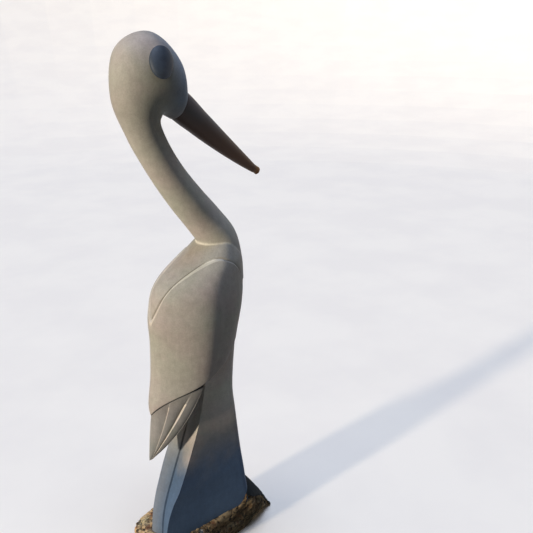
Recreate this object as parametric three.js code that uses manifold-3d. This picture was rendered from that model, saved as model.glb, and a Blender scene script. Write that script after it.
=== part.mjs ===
import * as THREE from 'three';
import { ParametricGeometry } from 'three/addons/geometries/ParametricGeometry.js';
import { mergeVertices } from 'three/addons/utils/BufferGeometryUtils.js';
import Module from 'manifold-3d';

// Garden stork carved from one block of stone, in millimetres, +Z up, bill towards +X.
// The underside of the rough base lies on Z = 0.

// Neck and head: back line, throat line (x, z) and half width, from the breast up to the face.
const neckStations = [
  { back: [28, 736], throat: [92, 756], half: 56 },
  { back: [10, 776], throat: [91, 806], half: 57 },
  { back: [1, 822], throat: [74, 872], half: 53 },
  { back: [-38, 878], throat: [32, 928], half: 42.5 },
  { back: [-80, 934], throat: [-14, 980], half: 40 },
  { back: [-120, 993], throat: [-58, 1035], half: 37.5 },
  { back: [-155, 1052], throat: [-91, 1088], half: 37 },
  { back: [-183, 1107], throat: [-110, 1132], half: 39 },
  { back: [-211, 1190], throat: [-107, 1146], half: 49 },
  { back: [-194, 1284], throat: [-102, 1149], half: 62 },
  { back: [-125, 1315], throat: [-97, 1148], half: 66 },
  { back: [-66, 1268], throat: [-91, 1145], half: 56 },
  { back: [-46, 1203], throat: [-84, 1141], half: 40 },
  { back: [-48, 1172], throat: [-77, 1137], half: 27 },
];
const neckColumns = 28;
const neckRowsPerStation = 3;

// Bill: a tapered cone with a blunt broken end.
const billRoot = [-80, 1185.5];
const billTip = [162, 991];
const billSag = 5;
const billStops = [0, 0.07, 0.30, 0.60, 0.84, 0.97, 1];
const billRadii = [29, 32, 28.5, 21, 13.5, 9.5, 7];
const billWidthRatio = 0.92;
const billColumns = 20;

// Eyes: shallow polished domes standing in the sides of the head.
const eyeHalfLength = 28;
const eyeHalfHeight = 37.5;
const eyeThickness = 14;
const eyeLean = -0.5;
const eyeCentre = [-129.5, 55.7, 1258.3];
const eyeFacing = [0.12, 0.85, 0.42];
const eyeSegments = [28, 14];

// Torso, from the bottom up: height, rear, front and half width of the plan.
const torsoStations = [
  { z: 440, rear: -173, front: 48, half: 75 },
  { z: 460, rear: -172, front: 50, half: 77 },
  { z: 540, rear: -160, front: 58, half: 84 },
  { z: 620, rear: -155, front: 70, half: 92 },
  { z: 700, rear: -155, front: 89, half: 93 },
  { z: 765, rear: -132, front: 94, half: 86 },
  { z: 820, rear: -54, front: 88, half: 68 },
  { z: 860, rear: 2, front: 64, half: 40 },
  { z: 886, rear: 42, front: 44, half: 1 },
];
const torsoWidest = 0.52;
const rearPinch = 0.32;
const torsoColumns = 48;

// Wing outline as height against the angle round the torso, 0 degrees at the rear.
const grooveAngles = [0, 17, 30, 45, 65, 90, 115, 135, 150, 180];
const grooveHeights = [690, 733, 777, 806, 820, 815, 796, 765, 720, 660];
const edgeAngles = [0, 19, 48, 73, 90, 105, 120, 132, 147, 165, 180];
const edgeHeights = [446, 468, 499, 522, 538, 555, 572, 592, 604, 540, 480];
const grooveHalfWidth = 7;
const grooveDepth = 6;
const wingSwell = 3;
const wingFadeStart = 140;
const wingFadeEnd = 165;
const edgeUndercut = 6;
const edgeInset = 0.76;
const chamferDrop = 20;
const chamferStart = [62, 95];
const chamferEnd = [140, 160];
const torsoTopRows = [0.14, 0.32, 0.55, 0.78, 1];
const wingRows = [0.12, 0.3, 0.5, 0.7, 0.87, 1];
const torsoTop = [43, 886];
const torsoFloor = [-20, 560];

// Legs, carved as one pillar: height, rear ridge, half width there, rear groove, front corner, front.
const legStations = [
  { z: 62, ridge: -175, ridgeHalf: 34, groove: -165, corner: 70, cornerHalf: 57, front: 88 },
  { z: 100, ridge: -173, ridgeHalf: 34, groove: -163, corner: 70, cornerHalf: 63, front: 90 },
  { z: 145, ridge: -166, ridgeHalf: 36, groove: -157, corner: 65, cornerHalf: 62, front: 86 },
  { z: 190, ridge: -152, ridgeHalf: 40, groove: -145, corner: 60, cornerHalf: 59, front: 80 },
  { z: 225, ridge: -136, ridgeHalf: 45, groove: -132, corner: 56, cornerHalf: 57, front: 76 },
  { z: 260, ridge: -122, ridgeHalf: 47, groove: -119, corner: 52, cornerHalf: 54, front: 72 },
  { z: 330, ridge: -94, ridgeHalf: 47, groove: -92, corner: 44, cornerHalf: 51, front: 65 },
  { z: 400, ridge: -70, ridgeHalf: 48, groove: -69, corner: 36, cornerHalf: 51, front: 57 },
  { z: 460, ridge: -57, ridgeHalf: 50, groove: -57, corner: 29, cornerHalf: 50.5, front: 51 },
  { z: 520, ridge: -50, ridgeHalf: 54, groove: -49, corner: 27.5, cornerHalf: 53, front: 54 },
  { z: 590, ridge: -44, ridgeHalf: 57, groove: -43, corner: 29, cornerHalf: 57, front: 61 },
];
const legGrooveHalfWidth = 4.5;
const legGrooveDepth = 5;
const legGrooveEnd = [350, 430];
const calfSwell = 1;
const calfCrest = [0.7, 0.6];
const legRows = 16;
const sideSteps = 4;
const frontSteps = 4;

// Tail: a wedge of overlapping feathers closing on a free tip under the wings. Feather edges are
// degrees round the wedge from its rear middle.
const tailRear = [-165, 492];
const tailFront = [-69, 516];
const tailTip = [-187, 324];
const tailTipLength = 10;
const tailBow = [2.5, -7.5];
const tailBulge = 12;
const tailCurve = 1.3;
const tailPinch = 0.1;
const tailRootHalf = 73;
const tailTipHalf = 9;
const featherRootEdges = [0, 39.5, 68, 90];
const featherTipEdges = [0, 37, 49, 90];
const featherSteps = [0, 0.45, 0.75, 0.93];
const featherDepths = [7, 7, 2];
const featherSinkFull = 0.3;
const featherSinkFade = 0.6;
const featherSinkSpan = 1.5;
const undersideSteps = 4;
const tailRows = 8;
const featherColumns = featherSteps.length * (featherRootEdges.length - 1);

// Rough base: outline centre and half sizes, top height and the rock left standing in front.
const baseCentre = [-16.5, 13];
const baseHalf = [206.5, 83];
const baseSquareness = 0.52;
const baseTop = 106;
const topRiseForward = 0.16;
const topRiseLeft = 0.1;
const baseFootInset = 15;
const rightFootInset = 28;
const rightInsetTop = 0.6;
const rightInsetFull = -40;
const baseColumns = 44;
const baseRoughness = 4;
const baseWaves = [
  { turns: 3, phase: 0.7, lean: 3, size: 1 },
  { turns: 7, phase: 0, lean: -3.9, size: 0.6 },
];
const baseRings = [0, 1, 1, 1, 1, 0.97, 0.66, 0.33, 0];
const baseLevels = [0, 0, 0.16, 0.5, 0.93, 1, 1, 1, 1];
const rockStart = 48;
const rockFull = 70;
const rockHeight = 73;
const rockShoulder = [34, 70];
const rockShoulderDrop = 0.62;
const rockRunOut = 180;
const rockToe = 22;
const rockLeast = 6;
const rockNarrowing = 0.46;
const rimFall = 12;
const rimPower = 24;
const rimFallFull = -40;

function follow(stops, values, at) {
  // Smooth curve through the values: cubic Hermite with averaged slopes.
  const last = stops.length - 1;
  let i = 0;
  while (i < last - 1 && at > stops[i + 1]) i += 1;
  const slope = (k) => (values[k + 1] - values[k]) / (stops[k + 1] - stops[k]);
  const tangent = (k) => {
    if (k === 0) return slope(0);
    if (k === last) return slope(last - 1);
    const before = stops[k] - stops[k - 1];
    const after = stops[k + 1] - stops[k];
    return (slope(k - 1) * after + slope(k) * before) / (before + after);
  };
  const span = stops[i + 1] - stops[i];
  const t = (at - stops[i]) / span;
  const rise = 3 * t * t - 2 * t * t * t;
  const leave = t * (1 - t) * (1 - t) * span * tangent(i);
  const arrive = t * t * (t - 1) * span * tangent(i + 1);
  return values[i] * (1 - rise) + values[i + 1] * rise + leave + arrive;
}

function mix(a, b, t) {
  return a + (b - a) * t;
}

function ramp(from, to, at) {
  const t = Math.min(Math.max((at - from) / (to - from), 0), 1);
  return t * t * (3 - 2 * t);
}

// Closed skin over rows and columns; the first and last rows are single points.
function skin(rows, columns, pointAt) {
  const place = (u, v, target) => {
    const [x, y, z] = pointAt(Math.round(v * rows), Math.round((1 - u) * columns) % columns);
    target.set(x, y, z);
  };
  return new ParametricGeometry(place, columns, rows);
}

function neckPoint(row, column) {
  const rows = neckRowsPerStation * (neckStations.length - 1);
  const along = Math.min(Math.max(row - 1, 0), rows) / neckRowsPerStation;
  const stops = neckStations.map((station, i) => i);
  const value = (pick) => follow(stops, neckStations.map(pick), along);
  const back = [value((s) => s.back[0]), value((s) => s.back[1])];
  const throat = [value((s) => s.throat[0]), value((s) => s.throat[1])];
  const turn = (2 * Math.PI * column) / neckColumns;
  const open = row === 0 || row === rows + 2 ? 0 : 1;
  const lift = (open * Math.cos(turn)) / 2;
  return [
    mix(throat[0], back[0], 0.5 + lift),
    open * value((s) => s.half) * Math.sin(turn),
    mix(throat[1], back[1], 0.5 + lift),
  ];
}

function billPoint(row, column) {
  const last = billStops.length;
  const stop = Math.min(Math.max(row - 1, 0), last - 1);
  const along = billStops[stop];
  const open = row === 0 || row === last + 1 ? 0 : 1;
  const run = [billTip[0] - billRoot[0], billTip[1] - billRoot[1]];
  const length = Math.hypot(run[0], run[1]);
  const up = [-run[1] / length, run[0] / length];
  const turn = (2 * Math.PI * column) / billColumns;
  const lift = open * billRadii[stop] * Math.cos(turn);
  return [
    billRoot[0] + run[0] * along + up[0] * lift,
    open * billWidthRatio * billRadii[stop] * Math.sin(turn),
    billRoot[1] + run[1] * along + up[1] * lift - 4 * billSag * along * (1 - along),
  ];
}

function torsoPlan(turn, z, swell) {
  const heights = torsoStations.map((s) => s.z);
  const rear = follow(heights, torsoStations.map((s) => s.rear), z);
  const front = follow(heights, torsoStations.map((s) => s.front), z);
  const half = follow(heights, torsoStations.map((s) => s.half), z);
  const widest = mix(front, rear, torsoWidest);
  const reach = Math.cos(turn) > 0 ? widest - rear : front - widest;
  const pinch = 1 - rearPinch * Math.max(Math.cos(turn), 0) ** 2;
  return [widest - (reach + swell) * Math.cos(turn), -(half + swell) * pinch * Math.sin(turn)];
}

// Torso rows: crown pole, mantle, groove floor, wing, undercut ledge, floor pole.
function torsoPoint(row, column) {
  const turn = (2 * Math.PI * column) / torsoColumns;
  const degrees = (Math.acos(Math.cos(turn)) * 180) / Math.PI;
  const groove = follow(grooveAngles, grooveHeights, degrees);
  const edge = follow(edgeAngles, edgeHeights, degrees);
  const shown = 1 - ramp(wingFadeStart, wingFadeEnd, degrees);
  const grooveRow = torsoTopRows.length + 1;
  const ledgeRow = grooveRow + wingRows.length + 2;
  if (row === 0) return [torsoTop[0], 0, torsoTop[1]];
  if (row > ledgeRow) return [torsoFloor[0], 0, torsoFloor[1]];
  let z = groove;
  let swell = -grooveDepth * shown;
  if (row < grooveRow) {
    z = mix(torsoTop[1], groove + grooveHalfWidth, torsoTopRows[row - 1]);
    swell = 0;
  } else if (row > grooveRow) {
    const share = wingRows[Math.min(row - grooveRow - 2, wingRows.length - 1)];
    z = row === grooveRow + 1 ? groove - grooveHalfWidth : mix(groove - grooveHalfWidth, edge, share);
    swell = wingSwell * shown;
  }
  const [x, y] = torsoPlan(turn, z, swell);
  if (row === ledgeRow) {
    const shownChamfer = ramp(chamferStart[0], chamferStart[1], degrees)
      * (1 - ramp(chamferEnd[0], chamferEnd[1], degrees));
    const fall = mix(edgeUndercut, -chamferDrop, shownChamfer);
    return [mix(torsoFloor[0], x, edgeInset), y * edgeInset, z + fall];
  }
  return [x, y, z];
}

// Half plan of the legs: rear groove, rear ridge, flat side, rounded front corner, front middle.
function legOutline(z) {
  const heights = legStations.map((s) => s.z);
  const value = (key) => follow(heights, legStations.map((s) => s[key]), z);
  const ridge = [value('ridge'), value('ridgeHalf')];
  const corner = [value('corner'), value('cornerHalf')];
  const cut = legGrooveDepth * (1 - ramp(legGrooveEnd[0], legGrooveEnd[1], z));
  const points = [[value('groove') + cut, 0]];
  points.push([value('groove') - calfSwell, legGrooveHalfWidth]);
  points.push([mix(value('groove'), ridge[0], calfCrest[0]) - calfSwell, ridge[1] * calfCrest[1]]);
  for (let i = 0; i <= sideSteps; i += 1) {
    const t = i / sideSteps;
    points.push([mix(ridge[0], corner[0], t), mix(ridge[1], corner[1], t)]);
  }
  for (let i = 1; i <= frontSteps; i += 1) {
    const bend = (Math.PI * i) / (2 * frontSteps);
    points.push([mix(corner[0], value('front'), Math.sin(bend)), corner[1] * Math.cos(bend)]);
  }
  return points;
}

function legColumns() {
  return 2 * (legOutline(legStations[0].z).length - 1);
}

function legPoint(row, column) {
  const last = legStations.length - 1;
  const level = Math.min(Math.max(row - 1, 0), legRows) / legRows;
  const z = mix(legStations[last].z, legStations[0].z, level);
  const half = legOutline(z);
  const open = row === 0 || row === legRows + 2 ? 0 : 1;
  const mirrored = column >= half.length;
  const point = half[mirrored ? 2 * (half.length - 1) - column : column];
  const side = mirrored ? 1 : -1;
  return [mix(0, point[0], open), side * point[1] * open, z];
}

// Tail sections: a half oval, flatter than an ellipse, closed by a flat underside. Each feather sinks
// towards its outer edge, where the next one steps up again.
function tailPoint(row, column) {
  const share = Math.min(Math.max(row - 1, 0), tailRows) / tailRows;
  const open = row === 0 || row === tailRows + 2 ? 0 : 1;
  const fromMiddle = Math.min(column, 2 * featherColumns) - featherColumns;
  const side = Math.sign(fromMiddle);
  const step = Math.abs(fromMiddle);
  const feather = Math.floor(step / featherSteps.length);
  const outer = Math.min(feather + 1, featherRootEdges.length - 1);
  const within = featherSteps[step % featherSteps.length];
  const edge = (k) => mix(featherRootEdges[k], featherTipEdges[k], share);
  const turn = side * mix(edge(feather), edge(outer), within) * (Math.PI / 180);
  const bulge = 4 * share * (1 - share);
  const rear = [mix(tailRear[0], tailTip[0], share), mix(tailRear[1], tailTip[1], share)];
  const front = [
    mix(tailFront[0], tailTip[0] + tailTipLength, share) + tailBow[0] * bulge,
    mix(tailFront[1], tailTip[1] + tailTipLength, share) + tailBow[1] * bulge,
  ];
  const depth = featherDepths[Math.min(feather, featherDepths.length - 1)];
  const sunk = depth * ramp(0, featherSinkFull, share) * (1 - featherSinkFade * share) * within ** 2;
  const half = mix(tailRootHalf, tailTipHalf, share) + tailBulge * bulge;
  const reach = Math.hypot(rear[0] - front[0], rear[1] - front[1]);
  const rounded = column <= 2 * featherColumns;
  const flatShare = (column - 2 * featherColumns) / undersideSteps;
  const rearward = Math.max(Math.cos(turn), 0) ** tailCurve;
  const sideways = Math.abs(Math.sin(turn)) ** tailCurve;
  const span = Math.max(reach, featherSinkSpan * half);
  const lift = rounded ? open * rearward * (1 - sunk / span) : 0;
  const pinch = 1 - tailPinch * (1 - share) * Math.cos(turn) ** 2;
  const across = rounded
    ? side * sideways * (half * pinch - sunk * sideways)
    : half * (1 - 2 * flatShare);
  const inset = open === 0 ? 0.5 : lift;
  return [mix(front[0], rear[0], inset), -across * open, mix(front[1], rear[1], inset)];
}

// Height of the base's upper surface, with the unworked rock sloping down in front of the legs.
function rockTop(x, y) {
  const shoulder = 1 - rockShoulderDrop * ramp(rockShoulder[0], rockShoulder[1], Math.abs(y));
  const rise = ramp(rockStart, rockFull, x) * rockHeight * shoulder;
  const ground = baseTop + topRiseForward * x + topRiseLeft * y;
  const fall = Math.max(x - rockFull, 0) / (rockRunOut - rockFull);
  return Math.max(mix(ground + rise, rockToe, fall), rockLeast);
}

// Low lumps round the rock: waves round the outline that lean over from foot to top.
function roughness(turn, level) {
  const wave = (w) => w.size * Math.sin(w.turns * turn + w.phase + w.lean * level);
  return baseRoughness * baseWaves.reduce((sum, w) => sum + wave(w), 0);
}

function basePoint(row, column) {
  const turn = (2 * Math.PI * column) / baseColumns;
  const soften = (value) => Math.sign(value) * Math.pow(Math.abs(value), baseSquareness);
  const lastRow = baseRings.length - 1;
  const level = baseLevels[row];
  const bump = row === 0 || row === lastRow ? 0 : roughness(turn, level);
  const across = soften(Math.sin(turn));
  const right = ramp(0, rightInsetFull, baseHalf[1] * across);
  const rightInset = rightFootInset * (1 - ramp(0, rightInsetTop, level)) * right;
  const inset = Math.max(row < 2 ? baseFootInset : 0, rightInset);
  const reachX = (baseHalf[0] - (row < 2 ? baseFootInset : 0) + bump) * baseRings[row];
  const reachY = (baseHalf[1] - inset + bump) * baseRings[row];
  const x = baseCentre[0] - reachX * soften(Math.cos(turn));
  const taper = 1 - rockNarrowing * ramp(rockFull, rockRunOut, x);
  const y = (baseCentre[1] + reachY * across) * taper;
  const worn = rimFall * baseRings[row] ** rimPower * ramp(0, rimFallFull, y);
  const top = rockTop(x, y) - worn + (level === 1 ? 0.5 * bump : 0);
  return [x, y, level * top];
}

const wasm = await Module();
wasm.setup();

// Closed body from a geometry: seam vertices joined, collapsed triangles dropped.
function bodyOf(geometry) {
  const bare = geometry.index ? geometry.toNonIndexed() : geometry.clone();
  bare.deleteAttribute('normal');
  bare.deleteAttribute('uv');
  const joined = mergeVertices(bare, 1e-3);
  const source = joined.index.array;
  const kept = [];
  for (let i = 0; i < source.length; i += 3) {
    const [a, b, c] = [source[i], source[i + 1], source[i + 2]];
    if (a !== b && b !== c && c !== a) kept.push(a, b, c);
  }
  return new wasm.Manifold(new wasm.Mesh({
    numProp: 3,
    vertProperties: new Float32Array(joined.attributes.position.array),
    triVerts: new Uint32Array(kept),
  }));
}

function eyeBody(side) {
  const dome = new THREE.SphereGeometry(1, eyeSegments[0], eyeSegments[1]);
  const facing = new THREE.Vector3(eyeFacing[0], side * eyeFacing[1], eyeFacing[2]).normalize();
  const level = new THREE.Vector3(-side * facing.y, side * facing.x, 0).normalize();
  const upright = new THREE.Vector3().crossVectors(facing, level).multiplyScalar(side);
  const tall = upright.clone().multiplyScalar(Math.cos(eyeLean)).addScaledVector(level, Math.sin(eyeLean));
  const long = new THREE.Vector3().crossVectors(tall, facing);
  dome.scale(eyeHalfLength, eyeHalfHeight, eyeThickness);
  dome.applyMatrix4(new THREE.Matrix4().makeBasis(long, tall, facing));
  dome.translate(eyeCentre[0], side * eyeCentre[1], eyeCentre[2]);
  return bodyOf(dome);
}

const neckRows = neckRowsPerStation * (neckStations.length - 1) + 2;
const torsoRows = torsoTopRows.length + wingRows.length + 4;
const tailColumns = 2 * featherColumns + undersideSteps;

const pieces = [
  bodyOf(skin(torsoRows, torsoColumns, torsoPoint)),
  bodyOf(skin(legRows + 2, legColumns(), legPoint)),
  bodyOf(skin(tailRows + 2, tailColumns, tailPoint)),
  bodyOf(skin(baseRings.length - 1, baseColumns, basePoint)),
  bodyOf(skin(neckRows, neckColumns, neckPoint)),
  bodyOf(skin(billStops.length + 1, billColumns, billPoint)),
  eyeBody(-1),
  eyeBody(1),
];
const carved = pieces.reduce((whole, piece) => whole.add(piece));

const mesh = carved.getMesh();
const geometry = new THREE.BufferGeometry();
geometry.setAttribute('position', new THREE.BufferAttribute(new Float32Array(mesh.vertProperties), 3));
geometry.setIndex(new THREE.BufferAttribute(new Uint32Array(mesh.triVerts), 1));
geometry.computeVertexNormals();

const stone = new THREE.MeshStandardMaterial({ color: 0x8d857b, roughness: 0.85, metalness: 0 });
const carving = new THREE.Mesh(geometry, stone);
carving.name = 'stork_carving';

const stork = new THREE.Group();
stork.name = 'stone_stork';
stork.add(carving);

export default stork;
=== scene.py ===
import math
import bpy
import numpy as np
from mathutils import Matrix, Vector


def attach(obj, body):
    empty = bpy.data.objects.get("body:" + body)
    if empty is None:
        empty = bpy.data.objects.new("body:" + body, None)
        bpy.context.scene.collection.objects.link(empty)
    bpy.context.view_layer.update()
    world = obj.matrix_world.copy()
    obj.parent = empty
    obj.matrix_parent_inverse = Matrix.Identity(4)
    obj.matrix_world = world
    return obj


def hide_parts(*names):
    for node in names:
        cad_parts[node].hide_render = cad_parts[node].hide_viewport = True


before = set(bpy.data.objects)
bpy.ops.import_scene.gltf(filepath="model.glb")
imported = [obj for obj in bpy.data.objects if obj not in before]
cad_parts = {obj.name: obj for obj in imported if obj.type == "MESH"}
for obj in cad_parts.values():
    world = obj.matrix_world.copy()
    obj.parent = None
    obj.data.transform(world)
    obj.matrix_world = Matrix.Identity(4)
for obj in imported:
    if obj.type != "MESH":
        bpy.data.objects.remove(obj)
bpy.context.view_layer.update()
print("frame loaded")

# Garden stork and its rough base, one stone. Metres, +Z up, bill towards +X, underside on Z = 0.


# Smooth curve through values at stops: cubic Hermite, each slope the two neighbouring chords weighted by the
# opposite gap.
def follow(stops, values, at):
    stops, values = np.asarray(stops, float), np.asarray(values, float)
    gap = np.diff(stops)
    chord = np.diff(values) / gap
    inner = (chord[:-1] * gap[1:] + chord[1:] * gap[:-1]) / (gap[1:] + gap[:-1])
    slope = np.concatenate([chord[:1], inner, chord[-1:]])
    i = np.clip(np.searchsorted(stops, at, side="right") - 1, 0, len(stops) - 2)
    t = (at - stops[i]) / gap[i]
    rise = t * t * (3 - 2 * t)
    bend = t * (1 - t) ** 2 * gap[i] * slope[i] + t * t * (t - 1) * gap[i] * slope[i + 1]
    return values[i] * (1 - rise) + values[i + 1] * rise + bend


# Straight blend: a + (b - a) t.
def mix(a, b, t):
    return a + (b - a) * t


# Soft step: 3t^2 - 2t^3 with t the clamped share of the way from start to end.
def ramp(start, end, at):
    t = np.clip((at - start) / (end - start), 0, 1)
    return t * t * (3 - 2 * t)


# Large whole numbers scatter the lattice's corner values; shift keeps its corners off the middle plane.
lattice = dict(
    shift=57.3, cell=(7349, 19423, 29101), seed=6571, square=1000003, times=48271, prime=2147483647,
    levels=20011,
)


# Lattice noise in -1..1: hashed values at whole-number corners, blended by 3t^2 - 2t^3 between them.
def latticeNoise(points, grain, seed):
    scaled = points / grain + lattice["shift"]
    cell = np.floor(scaled).astype(np.int64)
    share = scaled - cell
    share = share * share * (3 - 2 * share)
    total = np.zeros(points.shape[:-1])
    for corner in range(8):
        step = np.array([corner & 1, corner >> 1 & 1, corner >> 2 & 1])
        spot = cell + step
        mixed = spot @ np.array(lattice["cell"]) + seed * lattice["seed"]
        mixed = (mixed * mixed % lattice["square"]) * lattice["times"] % lattice["prime"]
        weight = np.prod(np.where(step == 1, share, 1 - share), axis=-1)
        total = total + weight * (mixed % lattice["levels"] / (lattice["levels"] / 2) - 1)
    return total


# Sum of three octaves of lattice noise, each half the grain and half the height of the last.
def rubble(points, grain, seed):
    return sum(latticeNoise(points, grain / 2 ** k, seed + k) / 2 ** k for k in range(3))


# Unit normals of a closed grid: cross product of the differences round the ring and from row to row.
def gridNormals(grid):
    around = np.roll(grid, -1, axis=1) - np.roll(grid, 1, axis=1)
    along = np.gradient(grid, axis=0)
    normal = np.cross(along, around)
    return normal / np.maximum(np.linalg.norm(normal, axis=-1, keepdims=True), 1e-9)


# Finishes include a lighter stone as painted highlight on step faces and a near-black painted shade on the front
# rock.
stoneSlot, billSlot, eyeSlot, rindSlot, paintedHighlightSlot, paintedShadeRockSlot, legSlot, tailSlot, neckSlot = range(9)
finishes = [bpy.data.materials.new(name) for name in (
    "rubbedStone", "polishedBill", "polishedEye", "rind", "paintedHighlightStone", "paintedShadeRock",
    "legStone", "tailStone", "neckStone",
)]
parts = []


# Closed skin: rings of quads row to row, both ends fanned to the mean point of the end ring. slots is one
# material index, or one for each quad (row, column).
def skinMesh(name, grid, slots):
    rows, columns = grid.shape[:2]
    poles = np.stack([grid[0].mean(axis=0), grid[-1].mean(axis=0)])
    points = np.concatenate([grid.reshape(-1, 3), poles])
    j = np.arange(columns)
    k = (j + 1) % columns
    base = np.arange(rows - 1)[:, None] * columns
    quads = np.stack([base + j, base + k, base + columns + k, base + columns + j], axis=-1).reshape(-1, 4)
    first = np.stack([k, j, np.full(columns, rows * columns)], axis=-1)
    end = (rows - 1) * columns
    last = np.stack([end + j, end + k, np.full(columns, rows * columns + 1)], axis=-1)
    mesh = bpy.data.meshes.new(name)
    mesh.from_pydata(points.tolist(), [], quads.tolist() + first.tolist() + last.tolist())
    mesh.update()
    corners = points[np.concatenate([quads[:, :3], quads[:, [0, 2, 3]], first, last])]
    volume = np.einsum("ij,ij->i", corners[:, 0], np.cross(corners[:, 1], corners[:, 2])).sum() / 6
    if volume < 0:
        mesh.flip_normals()
    quadSlots = np.broadcast_to(slots, (rows - 1, columns))
    faceSlots = np.concatenate([quadSlots.ravel(), quadSlots[0], quadSlots[-1]])
    mesh.polygons.foreach_set("material_index", faceSlots.astype(np.int32))
    for material in finishes:
        mesh.materials.append(material)
    part = bpy.data.objects.new(name, mesh)
    bpy.context.scene.collection.objects.link(part)
    return part


# Neck and head: an elliptical section slides from the breast to the face between a back and a throat line.
neck = dict(
    backX=[0.028, 0.010, 0.001, -0.038, -0.080, -0.120, -0.155,
           -0.183, -0.211, -0.194, -0.125, -0.066, -0.046, -0.048],
    backZ=[0.736, 0.776, 0.822, 0.878, 0.934, 0.993, 1.052,
           1.107, 1.190, 1.284, 1.315, 1.268, 1.203, 1.172],
    throatX=[0.092, 0.091, 0.074, 0.032, -0.014, -0.058, -0.091,
             -0.110, -0.107, -0.102, -0.097, -0.091, -0.084, -0.077],
    throatZ=[0.756, 0.806, 0.872, 0.928, 0.980, 1.035, 1.088,
             1.132, 1.146, 1.149, 1.148, 1.145, 1.141, 1.137],
    half=[0.056, 0.057, 0.053, 0.0425, 0.040, 0.0375, 0.037,
          0.039, 0.049, 0.062, 0.066, 0.056, 0.040, 0.027],
    breastRows=8, collarFrom=0.9, collarTo=3.2, collarRows=64, rows=130, columns=96,
)


# Point = middle of back and throat + half their difference x cos(turn) + half width x sin(turn) sideways.
# Rows stand closer together where the neck leaves the mantle.
def neckGrid(spec):
    stops = np.arange(len(spec["half"]))
    collar = np.linspace(spec["collarFrom"], spec["collarTo"], spec["collarRows"])
    above = np.linspace(spec["collarTo"], len(stops) - 1, spec["rows"])
    below = np.linspace(0, spec["collarFrom"], spec["breastRows"])
    along = np.concatenate([below[:-1], collar[:-1], above])
    lines = ("backX", "backZ", "throatX", "throatZ", "half")
    line = {key: follow(stops, spec[key], along)[:, None] for key in lines}
    turn = np.linspace(0, 2 * math.pi, spec["columns"], endpoint=False)[None, :]
    share = 0.5 + 0.5 * np.cos(turn)
    x = mix(line["throatX"], line["backX"], share)
    z = mix(line["throatZ"], line["backZ"], share)
    return np.stack([x, line["half"] * np.sin(turn), z], axis=-1)


parts.append(skinMesh("neck", neckGrid(neck), neckSlot))

# Bill: tapered cone along a slightly sagging line, with a blunt broken end.
bill = dict(
    root=(-0.080, 1.1855), tip=(0.162, 0.991), sag=0.005, widthRatio=0.92,
    stops=[0, 0.07, 0.30, 0.60, 0.84, 0.955, 1],
    radii=[0.029, 0.032, 0.0285, 0.021, 0.0135, 0.0095, 0.0085],
    rows=70, columns=48, brokenFrom=0.93, chip=0.0022, chipGrain=0.012, chipSeed=5,
)


# Point = line point - sag x 4t(1 - t) + radius x (cos up, ratio x sin sideways). From brokenFrom on, noise
# roughens the end.
def billGrid(spec):
    run = np.array(spec["tip"]) - np.array(spec["root"])
    up = np.array([-run[1], run[0]]) / np.hypot(*run)
    along = np.linspace(0, 1, spec["rows"])[:, None]
    turn = np.linspace(0, 2 * math.pi, spec["columns"], endpoint=False)[None, :]
    radius = follow(spec["stops"], spec["radii"], along)
    lift = radius * np.cos(turn)
    x = spec["root"][0] + run[0] * along + up[0] * lift
    z = spec["root"][1] + run[1] * along + up[1] * lift - 4 * spec["sag"] * along * (1 - along)
    grid = np.stack([x, spec["widthRatio"] * radius * np.sin(turn), z], axis=-1)
    chips = spec["chip"] * rubble(grid, spec["chipGrain"], spec["chipSeed"])
    broken = ramp(spec["brokenFrom"], 1, along) * chips
    return grid + gridNormals(grid) * broken[..., None]


parts.append(skinMesh("bill", billGrid(bill), billSlot))

# Eyes: shallow oval domes, flattened balls turned to face outwards and a little up.
eye = dict(
    halfLength=0.028, halfHeight=0.0375, thickness=0.014, lean=-0.5,
    centre=(-0.1295, 0.0557, 1.2583), facing=(0.12, 0.85, 0.42), poleGap=0.04, rows=24, columns=64,
)


# Point = centre + facing x thickness x cos(down) + sin(down) x (long axis x cos(turn) + tall axis x sin(turn)),
# down running from poleGap to pi - poleGap.
def eyeGrid(spec, side):
    facing = np.array([spec["facing"][0], side * spec["facing"][1], spec["facing"][2]])
    facing = facing / np.linalg.norm(facing)
    level = np.array([-side * facing[1], side * facing[0], 0])
    level = level / np.linalg.norm(level)
    tall = math.cos(spec["lean"]) * side * np.cross(facing, level) + math.sin(spec["lean"]) * level
    long = np.cross(tall, facing)
    down = np.linspace(spec["poleGap"], math.pi - spec["poleGap"], spec["rows"])[:, None, None]
    turn = np.linspace(0, 2 * math.pi, spec["columns"], endpoint=False)[None, :, None]
    centre = np.array([spec["centre"][0], side * spec["centre"][1], spec["centre"][2]])
    flat = spec["halfLength"] * np.cos(turn) * long + spec["halfHeight"] * np.sin(turn) * tall
    return centre + facing * spec["thickness"] * np.cos(down) + np.sin(down) * flat


parts.append(skinMesh("eyeRight", eyeGrid(eye, -1), eyeSlot))
parts.append(skinMesh("eyeLeft", eyeGrid(eye, 1), eyeSlot))

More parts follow.
